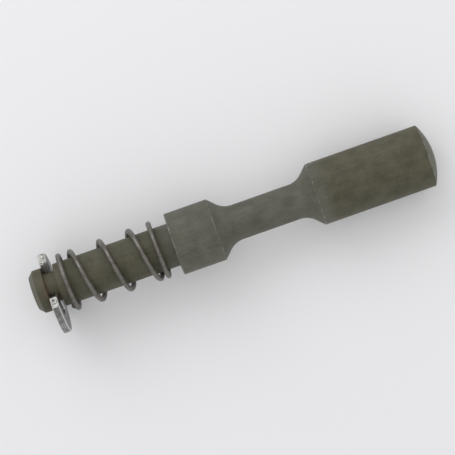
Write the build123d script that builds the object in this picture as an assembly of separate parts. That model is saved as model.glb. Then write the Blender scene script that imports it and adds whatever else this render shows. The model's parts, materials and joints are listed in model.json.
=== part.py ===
from build123d import *
from math import cos, radians, sin, sqrt
import os

# Spring plunger: a turned steel pin, a loose compression spring on its shank and an E-ring that
# traps the spring. Millimetres. The pin's axis is X, +X points at the domed head, and the origin is
# on the axis in the collar's shoulder face, which the spring pushes against. +Z is up.

# Guided length of the pin: collar and head are turned to one diameter and run in one bore.
GUIDE_D = 4.76
COLLAR_T = 3.34
HEAD_L = 8.69
DOME_H = 0.60
SHOULDER_BREAK = 0.06

# Neck between collar and head, entered by a cone and a swept radius at either end.
NECK_D = 2.70
NECK_GAP = 7.81
NECK_CONE_ANGLE = 45.0
NECK_FILLET_R = 1.55

# Shank that carries the spring, and the ring groove near its end.
SHANK_D = 3.29
SHANK_L = 11.00
END_CHAMFER = 0.38
END_LAND = 1.06
GROOVE_W = 0.92
GROOVE_D = 2.30

# E-ring: a stamped ring with one prong at its back and one on each side of its mouth. The rim is
# round about a centre that lies behind the shank's axis, so the ring is deepest at its back.
RING_T = 0.60
RING_RIM_R = 3.10
RING_RIM_OFFSET = 0.88
RING_MOUTH_REACH = 1.13
RING_THROAT_W = 1.94
RING_MOUTH_W = 3.10
RING_WEB = 1.22
RING_PRONG_W = 1.05
RING_SIDE_PRONG_BACK = 0.20
RING_LOBE_FILLET = 0.18
RING_EDGE_BREAK = 0.05
RING_GRIP_CLEARANCE = 0.01
RING_WALL_CLEARANCE = 0.01
RING_TURN = 31.5

# Compression spring: round wire, right-handed, closed ends that are not ground. It runs free on the
# shank, and at rest it lies between the ring and the collar with a gap at either end.
WIRE_D = 0.38
SPRING_BORE_CLEARANCE = 0.24
CLOSED_GAP = 0.01
CLOSED_TURNS = 1.0
RAMP_TURNS = 0.3
SPRING_TURNS = 5.2
SPRING_START_ANGLE = -155.0
SPRING_RING_GAP = 0.56
SPRING_COLLAR_GAP = 0.82
POINTS_PER_TURN = 12

# Derived stations along the axis.
NECK_START = COLLAR_T
HEAD_START = NECK_START + NECK_GAP
HEAD_END = HEAD_START + HEAD_L
SHANK_END = -SHANK_L
GROOVE_START = SHANK_END + END_LAND
GROOVE_END = GROOVE_START + GROOVE_W
RING_START = GROOVE_START + RING_WALL_CLEARANCE
RING_END = RING_START + RING_T
SPRING_START = RING_END + SPRING_RING_GAP
SPRING_END = -SPRING_COLLAR_GAP

# Derived spring sizes: the mean radius from the shank, and the open pitch from the free length.
SPRING_MEAN_R = SHANK_D / 2 + SPRING_BORE_CLEARANCE + WIRE_D / 2
CLOSED_PITCH = WIRE_D + CLOSED_GAP
SPRING_RISE = SPRING_END - SPRING_START - WIRE_D
CLOSED_RISE = (2 * CLOSED_TURNS + RAMP_TURNS) * CLOSED_PITCH
ACTIVE_PITCH = (SPRING_RISE - CLOSED_RISE) / (SPRING_TURNS - 2 * CLOSED_TURNS - RAMP_TURNS)


def pin_profile():
    """Half section of the pin above its axis: X is the axis, Y is the radius."""
    guide_r = GUIDE_D / 2
    neck_r = NECK_D / 2
    shank_r = SHANK_D / 2
    cone_l = (guide_r - neck_r) / sin(radians(NECK_CONE_ANGLE)) * cos(radians(NECK_CONE_ANGLE))
    outline = FilletPolyline(
        (NECK_START, guide_r),
        (NECK_START + cone_l, neck_r),
        (HEAD_START - cone_l, neck_r),
        (HEAD_START, guide_r),
        radius=NECK_FILLET_R,
    )
    head = Polyline((HEAD_START, guide_r), (HEAD_END, guide_r))
    dome = ThreePointArc((HEAD_END, guide_r), dome_point(0.5), (HEAD_END + DOME_H, 0))
    shank = Polyline(
        (HEAD_END + DOME_H, 0),
        (SHANK_END, 0),
        (SHANK_END, shank_r - END_CHAMFER),
        (SHANK_END + END_CHAMFER, shank_r),
        (GROOVE_START, shank_r),
        (GROOVE_START, GROOVE_D / 2),
        (GROOVE_END, GROOVE_D / 2),
        (GROOVE_END, shank_r),
        (0, shank_r),
        (0, guide_r - SHOULDER_BREAK),
        (SHOULDER_BREAK, guide_r),
        (NECK_START, guide_r),
    )
    return make_face([outline, head, dome, shank])


def dome_point(share):
    """Point on the dome's arc at a share of the head's radius from the axis."""
    guide_r = GUIDE_D / 2
    sphere_r = (guide_r**2 + DOME_H**2) / (2 * DOME_H)
    radius = share * guide_r
    return (HEAD_END + DOME_H - sphere_r + sqrt(sphere_r**2 - radius**2), radius)


def plunger_pin():
    return revolve(pin_profile(), Axis.X)


def ring_lobes():
    """The two hollows between the ring's back prong and its side prongs."""
    rim_centre = (-RING_RIM_OFFSET, 0)
    hollow = Pos(*rim_centre) * Circle(RING_RIM_R - RING_WEB)
    back_prong = Pos(-RING_RIM_R, 0) * Rectangle(2 * RING_RIM_R, RING_PRONG_W)
    side_prongs = Pos(RING_RIM_R - RING_SIDE_PRONG_BACK, 0) * Rectangle(2 * RING_RIM_R, 4 * RING_RIM_R)
    lobes = hollow - back_prong - side_prongs
    return fillet(lobes.vertices(), RING_LOBE_FILLET)


def ring_mouth():
    """The opening: a passage as wide as the throat that flares to the ring's ends."""
    bearing_r = GROOVE_D / 2 + RING_GRIP_CLEARANCE
    throat_x = sqrt(bearing_r**2 - (RING_THROAT_W / 2) ** 2)
    outside = RING_RIM_R
    passage = Polygon(
        (0, RING_THROAT_W / 2),
        (throat_x, RING_THROAT_W / 2),
        (RING_MOUTH_REACH, RING_MOUTH_W / 2),
        (RING_MOUTH_REACH, -RING_MOUTH_W / 2),
        (throat_x, -RING_THROAT_W / 2),
        (0, -RING_THROAT_W / 2),
        align=None,
    )
    ends = Pos(RING_MOUTH_REACH + outside, 0) * Rectangle(2 * outside, 4 * outside)
    return passage + ends


def retaining_clip():
    bearing = Circle(GROOVE_D / 2 + RING_GRIP_CLEARANCE)
    rim = Pos(-RING_RIM_OFFSET, 0) * Circle(RING_RIM_R)
    outline = rim - bearing - ring_mouth() - ring_lobes()
    blank = extrude(outline, RING_T)
    ring = chamfer(blank.edges().group_by(Axis.Z)[-1], RING_EDGE_BREAK)
    mouth = (0, sin(radians(RING_TURN)), cos(radians(RING_TURN)))
    seat = Plane(origin=(RING_START, 0, 0), x_dir=mouth, z_dir=(1, 0, 0))
    return seat * ring


def spring_rise(turn):
    """Axial distance of the wire's centre from its first tip, after so many turns."""
    if turn > SPRING_TURNS / 2:
        return SPRING_RISE - spring_rise(SPRING_TURNS - turn)
    ramp = min(max(turn - CLOSED_TURNS, 0), RAMP_TURNS)
    active = max(turn - CLOSED_TURNS - RAMP_TURNS, 0)
    gain = ACTIVE_PITCH - CLOSED_PITCH
    return CLOSED_PITCH * turn + gain * (ramp**2 / (2 * RAMP_TURNS) + active)


def spring_point(turn):
    """Centre of the wire after so many turns; the angle runs from +Y towards +Z."""
    angle = radians(SPRING_START_ANGLE + 360 * turn)
    x = SPRING_START + WIRE_D / 2 + spring_rise(turn)
    return Vector(x, SPRING_MEAN_R * cos(angle), SPRING_MEAN_R * sin(angle))


def return_spring():
    steps = round(SPRING_TURNS * POINTS_PER_TURN)
    points = [spring_point(SPRING_TURNS * step / steps) for step in range(steps + 1)]
    path = Spline(*points)
    section = Plane(origin=path @ 0, z_dir=path % 0) * Circle(WIRE_D / 2)
    return sweep(section, path=path, is_frenet=True)


os.makedirs("parts", exist_ok=True)
export_step(plunger_pin(), "parts/plunger_pin.step")
export_step(return_spring(), "parts/return_spring.step")
export_step(retaining_clip(), "parts/retaining_clip.step")
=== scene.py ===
"""Looks of a spring plunger: a phosphated steel pin, its loose coil spring and its bright E-ring.

Every length is in metres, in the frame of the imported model: +X along the pin towards its domed
head, +Z up, origin on the axis in the collar's shoulder face.
"""

import json
import logging
import math
from dataclasses import dataclass
from enum import Enum
from typing import Sequence

import bmesh
import bpy
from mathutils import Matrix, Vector


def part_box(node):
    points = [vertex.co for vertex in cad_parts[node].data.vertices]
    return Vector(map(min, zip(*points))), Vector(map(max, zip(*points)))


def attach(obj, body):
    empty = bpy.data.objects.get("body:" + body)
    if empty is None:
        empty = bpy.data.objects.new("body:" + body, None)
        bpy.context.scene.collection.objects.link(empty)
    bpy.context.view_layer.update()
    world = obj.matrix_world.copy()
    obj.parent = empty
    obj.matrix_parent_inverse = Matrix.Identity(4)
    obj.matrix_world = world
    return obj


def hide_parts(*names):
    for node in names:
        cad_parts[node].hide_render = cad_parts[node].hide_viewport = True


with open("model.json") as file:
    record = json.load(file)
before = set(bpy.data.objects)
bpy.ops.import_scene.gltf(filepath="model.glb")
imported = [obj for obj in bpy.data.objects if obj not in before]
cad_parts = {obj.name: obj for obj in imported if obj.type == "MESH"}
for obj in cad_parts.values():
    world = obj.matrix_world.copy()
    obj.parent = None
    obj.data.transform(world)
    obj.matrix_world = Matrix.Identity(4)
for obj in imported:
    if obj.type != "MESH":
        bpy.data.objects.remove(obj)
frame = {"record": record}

LOG = logging.getLogger("spring_plunger")
MM = 0.001
EDGE_ATTRIBUTE = "edge"

# Distance over which edge wear fades out beyond a rounding.
WEAR_FADE = 0.05 * MM

# Places of the colour sockets on a Mix node.
COLOUR_A = 6
COLOUR_B = 7
COLOUR_RESULT = 2

Colour = tuple[float, float, float, float]


class Node(Enum):
    """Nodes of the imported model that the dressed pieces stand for."""

    PIN = "plunger_pin"
    SPRING = "return_spring"
    RING = "retaining_clip"


class Body(Enum):
    """Bodies that the pieces ride on."""

    PLUNGER = "plunger"
    SPRING = "spring"


class Slot(Enum):
    """Material slots of the record."""

    PIN = "pin_steel"
    SPRING = "spring_wire"
    RING = "clip_steel"


@dataclass(frozen=True)
class Corner:
    """A corner of an outline, with the radius that rounds it.

    Args:
        x: First coordinate.
        y: Second coordinate.
        radius: Radius of the rounding, or 0 for a sharp point.
        steps: Number of chords along the rounding.
        worn: Whether the rounding is an outer edge that handling wears bright.
    """

    x: float
    y: float
    radius: float = 0.0
    steps: int = 3
    worn: bool = False


@dataclass(frozen=True)
class Station:
    """A point of a finished outline, with its share of edge wear."""

    x: float
    y: float
    edge: float = 0.0


def rounded(corner: Corner, before: Vector, after: Vector) -> list[Station]:
    """Round one corner between its neighbours.

    Args:
        corner: The corner and its radius.
        before: Point that the outline comes from.
        after: Point that the outline goes to.

    Returns:
        The stations that take the corner's place.
    """
    tip = Vector((corner.x, corner.y))
    edge = 1.0 if corner.worn else 0.0
    if corner.radius <= 0.0:
        return [Station(corner.x, corner.y, edge)]
    to_before = (before - tip).normalized()
    to_after = (after - tip).normalized()
    half = to_before.angle(to_after) / 2
    centre = tip + (to_before + to_after).normalized() * (corner.radius / math.sin(half))
    start = tip + to_before * (corner.radius / math.tan(half)) - centre
    turn = start.angle_signed(tip + to_after * (corner.radius / math.tan(half)) - centre)
    made = []
    for step in range(corner.steps + 1):
        angle = -turn * step / corner.steps
        spoke = Vector((
            start.x * math.cos(angle) - start.y * math.sin(angle),
            start.x * math.sin(angle) + start.y * math.cos(angle),
        ))
        point = centre + spoke
        made.append(Station(point.x, point.y, edge))
    if corner.worn:
        first = tip + to_before * (corner.radius / math.tan(half) + WEAR_FADE)
        last = tip + to_after * (corner.radius / math.tan(half) + WEAR_FADE)
        made = [Station(first.x, first.y), *made, Station(last.x, last.y)]
    return made


def outline(corners: Sequence[Corner], closed: bool = False) -> list[Station]:
    """Turn corners into stations, with each rounding sampled.

    Args:
        corners: Corners in order.
        closed: Whether the last corner joins the first.

    Returns:
        Stations in the same order.
    """
    made = []
    last = len(corners) - 1
    for i, corner in enumerate(corners):
        if not closed and i in (0, last):
            made.append(Station(corner.x, corner.y))
            continue
        before = corners[i - 1]
        after = corners[(i + 1) % len(corners)]
        made += rounded(corner, Vector((before.x, before.y)), Vector((after.x, after.y)))
    return made


def new_piece(name: str, mesh: bpy.types.Mesh, flat_ends: int = 2) -> bpy.types.Object:
    """Link an object for a finished mesh.

    Args:
        name: Name of the object.
        mesh: The shaded mesh.
        flat_ends: Number of last faces that stay flat.

    Returns:
        The object.
    """
    for face in mesh.polygons[len(mesh.polygons) - flat_ends:]:
        face.use_smooth = False
    piece = bpy.data.objects.new(name, mesh)
    bpy.context.scene.collection.objects.link(piece)
    return piece


def write_edge_attribute(mesh: bpy.types.Mesh, values: Sequence[float]) -> None:
    """Store how worn each vertex is, for the materials to read."""
    attribute = mesh.attributes.new(EDGE_ATTRIBUTE, "FLOAT", "POINT")
    attribute.data.foreach_set("value", values)


class NodeSheet:
    """A node tree with short calls to add and join nodes."""

    def __init__(self, tree: bpy.types.NodeTree) -> None:
        """Start on an empty tree."""
        self.tree = tree
        self.tree.nodes.clear()

    def add(
        self, kind: str, inputs: dict[str | int, object] | None = None, **settings: object
    ) -> bpy.types.Node:
        """Add a node.

        Args:
            kind: Node type without its ShaderNode prefix.
            inputs: Values, or sockets to link, by input name or index.
            settings: Properties set on the node.

        Returns:
            The new node.
        """
        node = self.tree.nodes.new(kind if kind.startswith("Node") else "ShaderNode" + kind)
        for name, value in settings.items():
            setattr(node, name, value)
        for key, value in (inputs or {}).items():
            self.put(node.inputs[key], value)
        return node

    def put(self, socket: bpy.types.NodeSocket, value: object) -> None:
        """Link a socket to another, or set its value."""
        if isinstance(value, bpy.types.NodeSocket):
            self.tree.links.new(value, socket)
        else:
            socket.default_value = value

    def math(self, operation: str, *values: object, clamp: bool = False) -> bpy.types.NodeSocket:
        """Add a Math node and return its result."""
        node = self.add("Math", operation=operation, use_clamp=clamp)
        for socket, value in zip(node.inputs, values):
            self.put(socket, value)
        return node.outputs[0]

    def ramp(self, value: object, low: float, high: float) -> bpy.types.NodeSocket:
        """Return 0 below low and 1 above high, smooth between."""
        limits = {"Value": value, "From Min": low, "From Max": high}
        return self.add("MapRange", limits, interpolation_type="SMOOTHSTEP").outputs["Result"]

    def invert(self, value: object) -> bpy.types.NodeSocket:
        """Return 1 less the value."""
        return self.math("SUBTRACT", 1.0, value)

    def weigh(self, *pairs: tuple[object, float]) -> bpy.types.NodeSocket:
        """Add up values, each times its weight."""
        total, *others = [self.math("MULTIPLY", value, weight) for value, weight in pairs]
        for other in others:
            total = self.math("ADD", total, other)
        return total

    def noise(
        self, vector: object, scale: object, detail: float = 4.0, rough: float = 0.55
    ) -> bpy.types.NodeSocket:
        """Add a noise texture and return its factor."""
        given = {"Vector": vector, "Scale": scale, "Detail": detail, "Roughness": rough}
        return self.add("TexNoise", given).outputs["Fac"]

    def wear(self) -> bpy.types.NodeSocket:
        """Return the edge wear stored on the mesh."""
        stored = self.add("Attribute", attribute_name=EDGE_ATTRIBUTE, attribute_type="GEOMETRY")
        return stored.outputs["Fac"]

    def blend(self, share: object, low: object, high: object) -> bpy.types.NodeSocket:
        """Mix two colours and return the result."""
        node = self.add("Mix", data_type="RGBA")
        self.put(node.inputs["Factor"], share)
        self.put(node.inputs[COLOUR_A], low)
        self.put(node.inputs[COLOUR_B], high)
        return node.outputs[COLOUR_RESULT]

    def dot(self, vector: object, axis: Sequence[float]) -> bpy.types.NodeSocket:
        """Return how far a point lies along an axis."""
        product = self.add("VectorMath", {0: vector, 1: tuple(axis)}, operation="DOT_PRODUCT")
        return product.outputs["Value"]


def group_sheet(
    name: str, inputs: dict[str, tuple[str, object]], outputs: dict[str, str]
) -> NodeSheet:
    """Start a shader node group with named sockets.

    Args:
        name: Name of the group.
        inputs: Socket type and default value by input name.
        outputs: Socket type by output name.

    Returns:
        A sheet on the group's own tree, with its input and output nodes added.
    """
    tree = bpy.data.node_groups.new(name, "ShaderNodeTree")
    for label, (kind, value) in inputs.items():
        kind = "NodeSocket" + kind
        socket = tree.interface.new_socket(name=label, in_out="INPUT", socket_type=kind)
        if value is not None:
            socket.default_value = value
    for label, kind in outputs.items():
        tree.interface.new_socket(name=label, in_out="OUTPUT", socket_type="NodeSocket" + kind)
    return NodeSheet(tree)


class SharedEffects:
    """Node groups that more than one finish uses. Each is built once."""

    def __init__(self) -> None:
        """Build the groups."""
        self.mottle = self._build_mottle()
        self.edge_wear = self._build_edge_wear()
        self.lines = self._build_lines()
        self.band = self._build_band()

    def place(
        self, sheet: NodeSheet, group: bpy.types.NodeTree, inputs: dict[str, object]
    ) -> bpy.types.bpy_prop_collection:
        """Add one of the groups to a material.

        Args:
            sheet: The material's sheet.
            group: The group to place.
            inputs: Values or sockets by input name.

        Returns:
            The group node's outputs.
        """
        node = sheet.add("Group")
        node.node_tree = group
        for label, value in inputs.items():
            sheet.put(node.inputs[label], value)
        return node.outputs

    def _build_mottle(self) -> bpy.types.NodeTree:
        """Cloudy patches with a fine crystal grain on top, as values round 0.5."""
        sheet = group_sheet(
            "mottle",
            {
                "Vector": ("Vector", None),
                "Patch Scale": ("Float", 900.0),
                "Grain Scale": ("Float", 9000.0),
            },
            {"Patches": "Float", "Grain": "Float", "Height": "Float"},
        )
        given = sheet.add("NodeGroupInput").outputs
        patches = sheet.noise(given["Vector"], given["Patch Scale"], 3.0, 0.6)
        grain = sheet.noise(given["Vector"], given["Grain Scale"], 5.0, 0.7)
        height = sheet.weigh((patches, 0.35), (grain, 0.65))
        made = sheet.add("NodeGroupOutput")
        for label, value in (("Patches", patches), ("Grain", grain), ("Height", height)):
            sheet.put(made.inputs[label], value)
        return sheet.tree

    def _build_edge_wear(self) -> bpy.types.NodeTree:
        """Bare metal along worn edges, broken up by noise."""
        sheet = group_sheet(
            "edge_wear",
            {
                "Edge": ("Float", 0.0),
                "Vector": ("Vector", None),
                "Scale": ("Float", 4000.0),
                "Cover": ("Float", 0.6),
            },
            {"Mask": "Float"},
        )
        given = sheet.add("NodeGroupInput").outputs
        broken = sheet.noise(given["Vector"], given["Scale"], 4.0, 0.65)
        level = sheet.math("ADD", sheet.math("SUBTRACT", given["Cover"], 0.5), broken)
        worn = sheet.ramp(level, 0.45, 0.62)
        mask = sheet.math("MULTIPLY", worn, sheet.ramp(given["Edge"], 0.35, 0.95), clamp=True)
        sheet.put(sheet.add("NodeGroupOutput").inputs["Mask"], mask)
        return sheet.tree

    def _build_lines(self) -> bpy.types.NodeTree:
        """Fine parallel marks across one direction, left by a lathe tool, a die or a shear."""
        sheet = group_sheet(
            "tool_lines",
            {
                "Vector": ("Vector", None),
                "Stretch": ("Vector", (1.0, 1.0, 1.0)),
                "Scale": ("Float", 9000.0),
            },
            {"Height": "Float"},
        )
        given = sheet.add("NodeGroupInput").outputs
        factors = {0: given["Vector"], 1: given["Stretch"]}
        stretched = sheet.add("VectorMath", factors, operation="MULTIPLY")
        height = sheet.noise(stretched.outputs["Vector"], given["Scale"], 3.0, 0.6)
        sheet.put(sheet.add("NodeGroupOutput").inputs["Height"], height)
        return sheet.tree

    def _build_band(self) -> bpy.types.NodeTree:
        """A soft band round one value, such as a station on an axis."""
        sheet = group_sheet(
            "band",
            {
                "Value": ("Float", 0.0),
                "Centre": ("Float", 0.0),
                "Half Width": ("Float", 1 * MM),
            },
            {"Mask": "Float"},
        )
        given = sheet.add("NodeGroupInput").outputs
        away = sheet.math("ABSOLUTE", sheet.math("SUBTRACT", given["Value"], given["Centre"]))
        share = sheet.math("DIVIDE", away, given["Half Width"])
        mask = sheet.invert(sheet.ramp(share, 0.0, 1.0))
        sheet.put(sheet.add("NodeGroupOutput").inputs["Mask"], mask)
        return sheet.tree


def finish_material(name: str) -> tuple[bpy.types.Material, NodeSheet, bpy.types.NodeSocket]:
    """Start a material.

    Args:
        name: Name of the finish.

    Returns:
        The material, its empty sheet and the place on the surface in metres.
    """
    material = bpy.data.materials.new(name)
    material.use_nodes = True
    sheet = NodeSheet(material.node_tree)
    place = sheet.add("TexCoord").outputs["Object"]
    return material, sheet, place


@dataclass
class Surface:
    """What a finish feeds to its shader.

    Args:
        colour: Base colour.
        metallic: Share of bare metal.
        roughness: Roughness.
        height: Surface height, from 0 to 1.
        depth: Depth in metres that a height of 1 stands for.
    """

    colour: object
    metallic: object
    roughness: object
    height: object
    depth: float

    def close(self, sheet: NodeSheet) -> None:
        """Add the shader and the output to a material's sheet."""
        bump = sheet.add("Bump", {"Height": self.height, "Strength": 1.0, "Distance": self.depth})
        given = {
            "Base Color": self.colour,
            "Metallic": self.metallic,
            "Roughness": self.roughness,
            "Normal": bump.outputs["Normal"],
        }
        shader = sheet.add("BsdfPrincipled", given)
        sheet.add("OutputMaterial", {"Surface": shader.outputs[0]})


@dataclass(frozen=True)
class PhosphateFinish:
    """Dark olive-grey phosphate on turned steel, worn at its edges, with a trace of rust in the groove."""

    dark: Colour = (0.062, 0.060, 0.041, 1.0)
    light: Colour = (0.112, 0.110, 0.086, 1.0)
    oiled_dark: Colour = (0.040, 0.037, 0.015, 1.0)
    oiled_light: Colour = (0.085, 0.081, 0.047, 1.0)
    cut_end: Colour = (0.135, 0.135, 0.108, 1.0)
    rust: Colour = (0.115, 0.052, 0.026, 1.0)
    bare: Colour = (0.25, 0.25, 0.235, 1.0)
    rust_half_width: float = 0.34 * MM
    oil_fade: float = 1.4 * MM
    grain_depth: float = 0.005 * MM
    patch_scale: float = 850.0
    grain_scale: float = 7000.0
    rub_scale: float = 4200.0
    turning_scale: float = 9000.0
    rust_scale: float = 1400.0
    wear_scale: float = 1300.0
    wear_cover: float = 0.54
    end_lightness: float = 0.62

    def material(self, effects: SharedEffects, pin: "PlungerPin") -> bpy.types.Material:
        """Make the material.

        Args:
            effects: The shared node groups.
            pin: The pin, whose stations place the rust, the oil and the lighter ends.

        Returns:
            The material.
        """
        material, sheet, place = finish_material("phosphated_steel")
        scales = {"Patch Scale": self.patch_scale, "Grain Scale": self.grain_scale}
        mottle = effects.place(sheet, effects.mottle, {"Vector": place, **scales})
        along = sheet.dot(place, (1.0, 0.0, 0.0))
        coat = self._coat(sheet, effects, pin, place, along, mottle)
        bare = {"Vector": place, "Scale": self.wear_scale, "Cover": self.wear_cover}
        worn = effects.place(sheet, effects.edge_wear, {"Edge": sheet.wear(), **bare})["Mask"]
        matt = sheet.math("ADD", 0.50, sheet.math("MULTIPLY", mottle["Grain"], 0.22))
        marks = {"Vector": place, "Stretch": (1.0, 0.06, 0.06), "Scale": self.turning_scale}
        turning = effects.place(sheet, effects.lines, marks)["Height"]
        Surface(
            colour=sheet.blend(worn, coat, self.bare),
            metallic=sheet.math("MULTIPLY", worn, 0.9),
            roughness=sheet.math("SUBTRACT", matt, sheet.math("MULTIPLY", worn, 0.22)),
            height=sheet.weigh((mottle["Height"], 0.7), (turning, 0.3)),
            depth=self.grain_depth,
        ).close(sheet)
        return material

    def _coat(
        self,
        sheet: NodeSheet,
        effects: SharedEffects,
        pin: "PlungerPin",
        place: object,
        along: object,
        mottle: bpy.types.bpy_prop_collection,
    ) -> bpy.types.NodeSocket:
        """Dry coat on the collar and neck, oiled on shank and head, paler at the cut ends."""
        marks = {"Vector": place, "Stretch": (0.10, 1.0, 1.0), "Scale": self.rub_scale}
        rubbing = effects.place(sheet, effects.lines, marks)["Height"]
        shade = sheet.weigh((mottle["Patches"], 0.45), (mottle["Grain"], 0.35), (rubbing, 0.20))
        shade = sheet.ramp(shade, 0.32, 0.68)
        dry = sheet.blend(shade, self.dark, self.light)
        oiled = sheet.blend(shade, self.oiled_dark, self.oiled_light)
        on_head = sheet.ramp(along, pin.head_start, pin.head_start + self.oil_fade)
        on_shank = sheet.invert(sheet.ramp(along, -self.oil_fade, 0.0))
        coat = sheet.blend(sheet.math("MAXIMUM", on_head, on_shank), dry, oiled)
        dome = sheet.ramp(along, pin.head_end - pin.edge_round, pin.head_end + pin.edge_round)
        chamfer_end = pin.shank_end + pin.end_chamfer
        cut = sheet.invert(sheet.ramp(along, chamfer_end - 0.1 * pin.end_chamfer, chamfer_end))
        ends = sheet.math("MULTIPLY", sheet.math("MAXIMUM", dome, cut), self.end_lightness)
        coat = sheet.blend(ends, coat, self.cut_end)
        return sheet.blend(self._rust_mask(sheet, effects, pin, place, along), coat, self.rust)

    def _rust_mask(
        self,
        sheet: NodeSheet,
        effects: SharedEffects,
        pin: "PlungerPin",
        place: object,
        along: object,
    ) -> bpy.types.NodeSocket:
        """Patchy rust at the two walls of the ring groove."""
        walls = []
        for station, share in ((pin.groove_start, 0.50), (pin.groove_end, 0.20)):
            given = {"Value": along, "Centre": station, "Half Width": self.rust_half_width}
            band = effects.place(sheet, effects.band, given)["Mask"]
            walls.append(sheet.math("MULTIPLY", band, share))
        patches = sheet.ramp(sheet.noise(place, self.rust_scale, 4.0, 0.6), 0.36, 0.62)
        return sheet.math("MULTIPLY", sheet.math("MAXIMUM", *walls), patches)


@dataclass(frozen=True)
class WireFinish:
    """Dark spring wire with fine draw lines and a lighter rub line along the coil's outside, partly wear
    and partly a painted highlight.
    """

    dark: Colour = (0.070, 0.063, 0.050, 1.0)
    light: Colour = (0.185, 0.172, 0.148, 1.0)
    # Colour of the rub line along the wire's outside: bare wire, lightened to serve as a painted
    # highlight.
    bare: Colour = (0.20, 0.19, 0.175, 1.0)
    grain_depth: float = 0.002 * MM
    patch_scale: float = 900.0
    grain_scale: float = 11000.0
    wear_scale: float = 5000.0
    wear_cover: float = 0.55

    def material(self, effects: SharedEffects) -> bpy.types.Material:
        """Make the material with the shared node groups."""
        material, sheet, place = finish_material("spring_wire")
        scales = {"Patch Scale": self.patch_scale, "Grain Scale": self.grain_scale}
        mottle = effects.place(sheet, effects.mottle, {"Vector": place, **scales})
        shade = sheet.weigh((mottle["Patches"], 0.6), (mottle["Grain"], 0.4))
        coat = sheet.blend(sheet.ramp(shade, 0.32, 0.70), self.dark, self.light)
        bare = {"Vector": place, "Scale": self.wear_scale, "Cover": self.wear_cover}
        worn = effects.place(sheet, effects.edge_wear, {"Edge": sheet.wear(), **bare})["Mask"]
        Surface(
            colour=sheet.blend(worn, coat, self.bare),
            metallic=sheet.math("ADD", 0.60, sheet.math("MULTIPLY", worn, 0.25)),
            roughness=sheet.math("SUBTRACT", 0.40, sheet.math("MULTIPLY", worn, 0.05)),
            height=mottle["Height"],
            depth=self.grain_depth,
        ).close(sheet)
        return material


@dataclass(frozen=True)
class StampedFinish:
    """Bright plated ring, smooth on its faces, dragged across its sheared rim, with tearing at its ends,
    painted shade close to the pin and a painted highlight on the ends and worn edges.
    """

    plating: Colour = (0.31, 0.31, 0.30, 1.0)
    dull: Colour = (0.13, 0.135, 0.125, 1.0)
    # Painted shade: the colour that darkens the ring close to the pin.
    shank_shade: Colour = (0.050, 0.047, 0.036, 1.0)
    # Near-white of the tearing at the ends and of the worn edges: bare metal lightened into a painted
    # highlight.
    bare_highlight: Colour = (0.68, 0.68, 0.65, 1.0)
    pit: Colour = (0.12, 0.12, 0.105, 1.0)
    drag_depth: float = 0.012 * MM
    patch_scale: float = 1100.0
    grain_scale: float = 9000.0
    drag_scale: float = 6500.0
    speck_scale: float = 4800.0
    wear_scale: float = 5000.0
    wear_cover: float = 0.75
    # Reach of the tearing and its painted highlight in from the mouth.
    lit_tear_depth: float = 0.09 * MM
    lit_tear_fade: float = 0.07 * MM

    def material(self, effects: SharedEffects, ring: "RetainingRing") -> bpy.types.Material:
        """Make the material.

        Args:
            effects: The shared node groups.
            ring: The ring, whose mouth places the tearing at the ends and its painted highlight.

        Returns:
            The material.
        """
        material, sheet, place = finish_material("bright_plating")
        scales = {"Patch Scale": self.patch_scale, "Grain Scale": self.grain_scale}
        mottle = effects.place(sheet, effects.mottle, {"Vector": place, **scales})
        # The ends at the mouth get the tearing texture, lightened as a painted highlight and broken by
        # dark pits.
        start = ring.mouth_reach - self.lit_tear_depth
        ends = sheet.ramp(sheet.dot(place, ring.mouth), start, start + self.lit_tear_fade)
        specks = sheet.ramp(sheet.noise(place, self.speck_scale, 4.0, 0.75), 0.40, 0.60)
        bare_highlight = sheet.blend(specks, self.pit, self.bare_highlight)
        colour = sheet.blend(ends, self._plain(sheet, ring, place, mottle), bare_highlight)
        bare = {"Vector": place, "Scale": self.wear_scale, "Cover": self.wear_cover}
        worn = effects.place(sheet, effects.edge_wear, {"Edge": sheet.wear(), **bare})["Mask"]
        marks = {"Vector": place, "Stretch": (0.12, 1.0, 1.0), "Scale": self.drag_scale}
        drag = effects.place(sheet, effects.lines, marks)["Height"]
        smooth = sheet.math("ADD", 0.30, sheet.math("MULTIPLY", mottle["Patches"], 0.2))
        Surface(
            # Worn edges blend toward the same light colour: wear with a painted highlight.
            colour=sheet.blend(sheet.math("MULTIPLY", worn, 0.8), colour, self.bare_highlight),
            metallic=sheet.math("SUBTRACT", 0.85, sheet.math("MULTIPLY", ends, 0.35)),
            roughness=sheet.math("ADD", smooth, sheet.math("MULTIPLY", ends, 0.2)),
            height=sheet.weigh((mottle["Height"], 0.4), (drag, 0.6)),
            depth=self.drag_depth,
        ).close(sheet)
        return material

    def _plain(
        self,
        sheet: NodeSheet,
        ring: "RetainingRing",
        place: object,
        mottle: bpy.types.bpy_prop_collection,
    ) -> bpy.types.NodeSocket:
        """Plating away from the ends, with painted shade close to the pin."""
        plain = sheet.blend(sheet.ramp(mottle["Patches"], 0.32, 0.68), self.dull, self.plating)
        flat = sheet.add("VectorMath", {0: place, 1: (0.0, 1.0, 1.0)}, operation="MULTIPLY")
        length = sheet.add("VectorMath", {0: flat.outputs["Vector"]}, operation="LENGTH")
        # Painted shade, strongest on the ring next to the pin and gone further out.
        clear_of_shade = sheet.ramp(length.outputs["Value"], ring.bearing_r * 1.3, ring.bearing_r * 2.0)
        shank_shade_share = sheet.math("MULTIPLY", sheet.invert(clear_of_shade), 0.85)
        return sheet.blend(shank_shade_share, plain, self.shank_shade)


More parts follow.
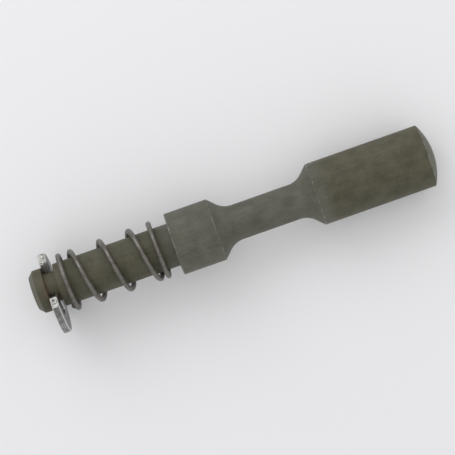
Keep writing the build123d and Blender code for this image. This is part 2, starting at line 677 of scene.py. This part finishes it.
@dataclass
class PlungerPin:
    """The turned pin: shank with its ring groove, collar, waisted neck and domed head.

    The overall length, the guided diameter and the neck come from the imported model.
    """

    shank_r: float = 1.645 * MM
    end_chamfer: float = 0.38 * MM
    groove_r: float = 1.15 * MM
    groove_w: float = 0.92 * MM
    groove_inset: float = 1.06 * MM
    dome_h: float = 0.60 * MM
    neck_fillet: float = 1.55 * MM
    shoulder_round: float = 0.06 * MM
    edge_round: float = 0.035 * MM
    root_round: float = 0.05 * MM
    sides: int = 192
    neck_steps: int = 20
    dome_steps: int = 14

    def __post_init__(self) -> None:
        """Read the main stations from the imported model."""
        low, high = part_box(Node.PIN.value)
        mounts = {mount["name"]: mount for mount in frame["record"]["mounts"]}
        head = mounts["head"]
        neck = mounts["neck"]
        self.guide_r = head["dims"]["r_mm"] * MM
        self.neck_r = neck["dims"]["r_mm"] * MM
        self.shank_end = low.x
        self.head_end = high.x - self.dome_h
        self.head_start = self.head_end - head["dims"]["length_mm"] * MM
        self.neck_middle = neck["pos_m"][0]
        self.collar_end = 2 * self.neck_middle - self.head_start
        self.groove_start = self.shank_end + self.groove_inset
        self.groove_end = self.groove_start + self.groove_w

    def corners(self) -> list[Corner]:
        """Outline from the shank's end face to the dome's edge."""
        cone = self.guide_r - self.neck_r
        small = self.edge_round
        return [
            Corner(self.shank_end, 0.0),
            Corner(self.shank_end, self.shank_r - self.end_chamfer, small),
            Corner(self.shank_end + self.end_chamfer, self.shank_r, small),
            Corner(self.groove_start, self.shank_r, small),
            Corner(self.groove_start, self.groove_r, small),
            Corner(self.groove_end, self.groove_r, small),
            Corner(self.groove_end, self.shank_r, small),
            Corner(0.0, self.shank_r, self.root_round),
            Corner(0.0, self.guide_r, self.shoulder_round, worn=True),
            Corner(self.collar_end, self.guide_r, small, worn=True),
            Corner(self.collar_end + cone, self.neck_r, self.neck_fillet, self.neck_steps),
            Corner(self.head_start - cone, self.neck_r, self.neck_fillet, self.neck_steps),
            Corner(self.head_start, self.guide_r, small, worn=True),
            Corner(self.head_end, self.guide_r, small, worn=True),
            Corner(*self.dome_point(1)),
        ]

    def dome_point(self, step: int) -> tuple[float, float]:
        """Point on the dome, from its edge at step 0 to its tip at the last step."""
        sphere_r = (self.guide_r**2 + self.dome_h**2) / (2 * self.dome_h)
        angle = math.asin(self.guide_r / sphere_r) * (1 - step / self.dome_steps)
        tip = self.head_end + self.dome_h
        return tip - sphere_r * (1 - math.cos(angle)), sphere_r * math.sin(angle)

    def build(self) -> bpy.types.Object:
        """Turn the outline about X and return the piece."""
        stations = outline(self.corners())
        stations += [Station(*self.dome_point(step)) for step in range(2, self.dome_steps + 1)]
        mesh = lathe("turned_pin", stations, self.sides)
        mesh.shade_smooth()
        return new_piece("turned_pin", mesh, flat_ends=0)


def finish_mesh(
    name: str, build: bmesh.types.BMesh, edges: Sequence[float]
) -> bpy.types.Mesh:
    """Turn a mesh under construction into a mesh with its edge wear stored."""
    bmesh.ops.recalc_face_normals(build, faces=build.faces)
    mesh = bpy.data.meshes.new(name)
    build.to_mesh(mesh)
    build.free()
    write_edge_attribute(mesh, edges)
    return mesh


def loft(name: str, rings: Sequence[Sequence[tuple[Vector, float]]]) -> bpy.types.Mesh:
    """Skin a row of rings and close both ends with a flat face.

    Args:
        name: Name of the mesh.
        rings: Rings of equal length, each point with its edge wear.

    Returns:
        The closed mesh, with its two end faces last.
    """
    build = bmesh.new()
    edges = [edge for ring in rings for _, edge in ring]
    loops = [[build.verts.new(point) for point, _ in ring] for ring in rings]
    for loop, following in zip(loops, loops[1:]):
        for i in range(len(loop)):
            ahead = (i + 1) % len(loop)
            build.faces.new((loop[i], loop[ahead], following[ahead], following[i]))
    build.faces.new(loops[0])
    build.faces.new(loops[-1])
    return finish_mesh(name, build, edges)


def lathe(name: str, stations: Sequence[Station], sides: int) -> bpy.types.Mesh:
    """Turn an outline about X.

    Args:
        name: Name of the mesh.
        stations: Outline that starts and ends on the axis.
        sides: Number of facets round the axis.

    Returns:
        The closed mesh, with its edge wear stored.
    """
    build = bmesh.new()
    edges: list[float] = []
    rings: list[list[bmesh.types.BMVert]] = []
    for i, station in enumerate(stations):
        on_axis = i in (0, len(stations) - 1)
        count = 1 if on_axis else sides
        ring = []
        for side in range(count):
            angle = 2 * math.pi * side / sides
            radius = 0.0 if on_axis else station.y
            point = (station.x, radius * math.cos(angle), radius * math.sin(angle))
            ring.append(build.verts.new(point))
            edges.append(station.edge)
        rings.append(ring)
    for ring, following in zip(rings, rings[1:]):
        for side in range(sides):
            ahead = (side + 1) % sides
            if len(ring) == 1:
                build.faces.new((ring[0], following[ahead], following[side]))
            elif len(following) == 1:
                build.faces.new((ring[side], ring[ahead], following[0]))
            else:
                build.faces.new((ring[side], ring[ahead], following[ahead], following[side]))
    return finish_mesh(name, build, edges)


@dataclass
class CoilSpring:
    """The compression spring: round wire, right-handed, with closed ends cut square."""

    wire_r: float = 0.19 * MM
    turns: float = 5.2
    closed_turns: float = 1.0
    ramp_turns: float = 0.3
    closed_gap: float = 0.01 * MM
    start_angle: float = math.radians(-155.0)
    cut_round: float = 0.03 * MM
    # How narrow the rub line and its painted highlight run round the wire.
    rub_sheen_falloff: int = 4
    look_ahead: float = 0.001
    steps_per_turn: int = 72
    sides: int = 28

    def __post_init__(self) -> None:
        """Read the spring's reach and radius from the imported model."""
        low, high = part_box(Node.SPRING.value)
        self.first_x = low.x + self.wire_r
        self.rise = high.x - low.x - 2 * self.wire_r
        self.mean_r = high.y - self.wire_r
        self.closed_pitch = 2 * self.wire_r + self.closed_gap
        closed = (2 * self.closed_turns + self.ramp_turns) * self.closed_pitch
        self.pitch = (self.rise - closed) / (self.turns - 2 * self.closed_turns - self.ramp_turns)

    def advance(self, turn: float) -> float:
        """Distance along the axis from the first tip, after so many turns."""
        if turn > self.turns / 2:
            return self.rise - self.advance(self.turns - turn)
        ramp = min(max(turn - self.closed_turns, 0.0), self.ramp_turns)
        active = max(turn - self.closed_turns - self.ramp_turns, 0.0)
        gain = self.pitch - self.closed_pitch
        return self.closed_pitch * turn + gain * (ramp**2 / (2 * self.ramp_turns) + active)

    def point(self, turn: float) -> Vector:
        """Centre of the wire after so many turns."""
        angle = self.start_angle + 2 * math.pi * turn
        x = self.first_x + self.advance(turn)
        return Vector((x, self.mean_r * math.cos(angle), self.mean_r * math.sin(angle)))

    def sections(self) -> list[tuple[float, float, float]]:
        """Turn, wire radius and wear of each ring of the mesh, with a rounded cut at either tip."""
        steps = round(self.turns * self.steps_per_turn)
        tip = self.cut_round / (2 * math.pi * self.mean_r)
        made = [
            (0.0, self.wire_r - self.cut_round, 0.0),
            (tip * 0.3, self.wire_r - self.cut_round * 0.3, 0.0),
        ]
        for step in range(steps + 1):
            turn = tip + (self.turns - 2 * tip) * step / steps
            made.append((turn, self.wire_r, 1.0))
        made += [(self.turns - turn, radius, wear) for turn, radius, wear in reversed(made[:2])]
        return made

    def ring(self, turn: float, radius: float, wear: float) -> list[tuple[Vector, float]]:
        """Points round the wire at one turn, most worn on the spring's outside, where the wear mask also
        lays a painted highlight along the wire.
        """
        before = self.point(max(turn - self.look_ahead, 0.0))
        after = self.point(min(turn + self.look_ahead, self.turns))
        tangent = (after - before).normalized()
        centre = self.point(turn)
        outward = Vector((0.0, centre.y, centre.z)).normalized()
        outward = (outward - tangent * outward.dot(tangent)).normalized()
        sideways = tangent.cross(outward)
        made = []
        for side in range(self.sides):
            angle = 2 * math.pi * side / self.sides
            spoke = outward * math.cos(angle) + sideways * math.sin(angle)
            # Wear along the wire's outside, which doubles as a painted highlight.
            rub_and_sheen = wear * max(math.cos(angle), 0.0) ** self.rub_sheen_falloff
            made.append((centre + spoke * radius, rub_and_sheen))
        return made

    def build(self) -> bpy.types.Object:
        """Sweep the wire along its path and return the piece."""
        mesh = loft("coil_spring", [self.ring(*section) for section in self.sections()])
        mesh.shade_smooth()
        return new_piece("coil_spring", mesh)


@dataclass
class RetainingRing:
    """The stamped E-ring: round rim, three prongs on the groove floor and a flared mouth.

    The outline is drawn in a plane whose first axis points out of the mouth.
    """

    rim_r: float = 3.10 * MM
    rim_offset: float = 0.88 * MM
    mouth_reach: float = 1.13 * MM
    throat_half: float = 0.97 * MM
    mouth_half: float = 1.55 * MM
    web: float = 1.22 * MM
    prong_half: float = 0.525 * MM
    prong_back: float = 0.20 * MM
    lobe_round: float = 0.18 * MM
    corner_round: float = 0.16 * MM
    bearing_r: float = 1.16 * MM
    turn: float = math.radians(31.5)
    rolled_edge: float = 0.15 * MM
    sheared_edge: float = 0.08 * MM
    rim_steps: int = 72
    lobe_steps: int = 12
    bearing_steps: int = 8
    edge_shares: tuple[float, ...] = (0.0, 0.33, 0.67, 1.0)
    crease_angle: float = math.radians(40.0)

    def __post_init__(self) -> None:
        """Read the ring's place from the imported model."""
        low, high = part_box(Node.RING.value)
        self.start_x = low.x
        self.thickness = high.x - low.x
        self.mouth = (0.0, math.sin(self.turn), math.cos(self.turn))
        self.across = (0.0, math.cos(self.turn), -math.sin(self.turn))

    def half_outline(self) -> list[Corner]:
        """Upper half of the outline, from the back of the rim round to the back prong's tip."""
        made = []
        rim_end = math.acos((self.mouth_reach + self.rim_offset) / self.rim_r)
        made += self._arc(-self.rim_offset, self.rim_r, math.pi, rim_end, self.rim_steps)
        made[-1] = Corner(made[-1].x, made[-1].y, self.corner_round)
        made.append(Corner(self.mouth_reach, self.mouth_half, self.corner_round))
        throat = math.asin(self.throat_half / self.bearing_r)
        flank = math.acos(-self.prong_back / self.bearing_r)
        made += self._arc(0.0, self.bearing_r, throat, flank, self.bearing_steps)
        hollow_r = self.rim_r - self.web
        lobe_start = math.acos((self.rim_offset - self.prong_back) / hollow_r)
        lobe_end = math.pi - math.asin(self.prong_half / hollow_r)
        lobe = self._arc(-self.rim_offset, hollow_r, lobe_start, lobe_end, self.lobe_steps)
        lobe[0] = Corner(lobe[0].x, lobe[0].y, self.lobe_round)
        lobe[-1] = Corner(lobe[-1].x, lobe[-1].y, self.lobe_round)
        made += lobe
        tip = math.pi - math.asin(self.prong_half / self.bearing_r)
        made += self._arc(0.0, self.bearing_r, tip, math.pi, self.bearing_steps)
        return made

    @staticmethod
    def _arc(centre: float, radius: float, start: float, end: float, steps: int) -> list[Corner]:
        """Points along an arc whose centre lies on the mouth's axis."""
        made = []
        for step in range(steps + 1):
            angle = start + (end - start) * step / steps
            made.append(Corner(centre + radius * math.cos(angle), radius * math.sin(angle)))
        return made

    def layers(self) -> list[tuple[float, list[Vector], float]]:
        """Height, outline and edge wear of each layer through the ring's thickness."""
        upper = self.half_outline()
        lower = [Corner(c.x, -c.y, c.radius) for c in reversed(upper[1:-1])]
        points = [Vector((s.x, s.y)) for s in outline(upper + lower, closed=True)]
        made = []
        for rounding, base, way in ((self.sheared_edge, 0.0, 1), (self.rolled_edge, self.thickness, -1)):
            side = []
            for share in self.edge_shares:
                angle = share * math.pi / 2
                height = base + way * rounding * (1 - math.cos(angle))
                worn = 1.0 if 0.0 < share < 1.0 else 0.0
                side.append((height, inset(points, rounding * (1 - math.sin(angle))), worn))
            made += side if way > 0 else side[::-1]
        return made

    def build(self) -> bpy.types.Object:
        """Stack the layers into the stamped ring and return the piece."""
        mouth = Vector(self.mouth)
        across = Vector(self.across)
        rings = []
        for height, points, worn in self.layers():
            level = Vector((self.start_x + height, 0.0, 0.0))
            rings.append([(level + mouth * point.x + across * point.y, worn) for point in points])
        mesh = loft("stamped_ring", rings)
        mesh.set_sharp_from_angle(angle=self.crease_angle)
        return new_piece("stamped_ring", mesh)


def inset(points: Sequence[Vector], distance: float) -> list[Vector]:
    """Move a closed outline inwards.

    Args:
        points: Outline in the order in which its inside lies to the right.
        distance: How far in.

    Returns:
        The moved points.
    """
    made = []
    for i, point in enumerate(points):
        before = (point - points[i - 1]).normalized()
        after = (points[(i + 1) % len(points)] - point).normalized()
        normal = Vector((before.y + after.y, -before.x - after.x)).normalized()
        spread = max(normal.dot(Vector((after.y, -after.x))), 0.5)
        made.append(point + normal * (distance / spread))
    return made


@dataclass
class Studio:
    """Floor, lamps, world and camera."""

    floor_half: float = 600 * MM
    floor_colour: Colour = (0.845, 0.845, 0.86, 1.0)
    floor_shade: float = 0.985
    backdrop_colour: Colour = (0.80, 0.80, 0.82, 1.0)
    camera_height: float = 163.5 * MM
    camera_x: float = 4.18 * MM
    camera_y: float = -0.14 * MM
    camera_roll: float = math.radians(-19.45)
    lens: float = 174.0
    lamp_place: tuple[float, float, float] = (-40 * MM, 165 * MM, 135 * MM)
    lamp_size: float = 160 * MM
    lamp_watts: float = 0.115
    world_level: float = 0.85

    def build_floor(self) -> bpy.types.Object:
        """Lay the floor so that it touches the ring's rim and the head's edge."""
        ring_low, ring_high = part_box(Node.RING.value)
        pin_low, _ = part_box(Node.PIN.value)
        head = next(m for m in frame["record"]["mounts"] if m["name"] == "head")
        head_edge = head["pos_m"][0] + head["dims"]["length_mm"] * MM / 2
        slope = (pin_low.z - ring_low.z) / (head_edge - ring_high.x)
        mesh = bpy.data.meshes.new("floor")
        half = self.floor_half
        square = ((-half, -half), (half, -half), (half, half), (-half, half))
        corners = [(x, y, ring_low.z + slope * (x - ring_high.x)) for x, y in square]
        mesh.from_pydata(corners, [], [(0, 1, 2, 3)])
        floor = bpy.data.objects.new("floor", mesh)
        bpy.context.scene.collection.objects.link(floor)
        material, sheet, place = finish_material("studio_floor")
        tone = sheet.noise(place, 8.0, 2.0)
        darker = (*(c * self.floor_shade for c in self.floor_colour[:3]), 1.0)
        colour = sheet.blend(sheet.ramp(tone, 0.2, 0.8), self.floor_colour, darker)
        shader = sheet.add("BsdfPrincipled", {"Base Color": colour, "Roughness": 0.9})
        shader.inputs["Specular IOR Level"].default_value = 0.1
        sheet.add("OutputMaterial", {"Surface": shader.outputs[0]})
        mesh.materials.append(material)
        return floor

    def build_lights(self) -> None:
        """Hang one wide lamp above the far side and fill the rest from the world."""
        lamp = bpy.data.lights.new("softbox", "AREA")
        lamp.shape = "DISK"
        lamp.size = self.lamp_size
        lamp.energy = self.lamp_watts
        holder = bpy.data.objects.new("softbox", lamp)
        bpy.context.scene.collection.objects.link(holder)
        holder.location = self.lamp_place
        holder.rotation_euler = (-holder.location).to_track_quat("-Z", "Y").to_euler()
        world = bpy.data.worlds.new("studio")
        bpy.context.scene.world = world
        world.use_nodes = True
        sheet = NodeSheet(world.node_tree)
        light = sheet.add("Background", {"Color": (1.0, 1.0, 1.0, 1.0), "Strength": self.world_level})
        seen = sheet.add("Background", {"Color": self.backdrop_colour, "Strength": 1.0})
        path = sheet.add("LightPath")
        shown = sheet.math("MAXIMUM", path.outputs["Is Camera Ray"], path.outputs["Is Glossy Ray"])
        shown = sheet.math("MAXIMUM", shown, path.outputs["Is Transmission Ray"])
        mixed = sheet.add("MixShader", {0: shown, 1: light.outputs[0], 2: seen.outputs[0]})
        sheet.add("OutputWorld", {"Surface": mixed.outputs[0]})

    def build_camera(self) -> None:
        """Set the camera straight above the pin, rolled so that the pin climbs to the right."""
        data = bpy.data.cameras.new("camera")
        data.lens = self.lens
        data.clip_start = 1 * MM
        data.clip_end = 10.0
        camera = bpy.data.objects.new("camera", data)
        bpy.context.scene.collection.objects.link(camera)
        camera.location = (self.camera_x, self.camera_y, self.camera_height)
        camera.rotation_euler = (0.0, 0.0, self.camera_roll)
        bpy.context.scene.camera = camera
        bpy.context.scene.view_settings.view_transform = "Standard"


def dress(
    piece: bpy.types.Object, node: Node, body: Body, material: bpy.types.Material
) -> None:
    """Put a finished piece in the place of its solid.

    Args:
        piece: The dressed piece.
        node: Node that it stands for.
        body: Body that it rides on.
        material: Its finish.
    """
    piece.data.materials.append(material)
    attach(piece, body.value)
    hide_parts(node.value)
    LOG.info("%s stands for %s", piece.name, node.value)


def main() -> None:
    """Build the pieces in order, then the studio."""
    logging.basicConfig(level=logging.INFO)
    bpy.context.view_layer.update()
    effects = SharedEffects()
    pin = PlungerPin()
    phosphate = PhosphateFinish().material(effects, pin)
    dress(pin.build(), Node.PIN, Body.PLUNGER, phosphate)
    spring = CoilSpring()
    dress(spring.build(), Node.SPRING, Body.SPRING, WireFinish().material(effects))
    ring = RetainingRing()
    plating = StampedFinish().material(effects, ring)
    dress(ring.build(), Node.RING, Body.PLUNGER, plating)
    studio = Studio()
    studio.build_floor()
    studio.build_lights()
    studio.build_camera()


if __name__ == "__main__":
    main()
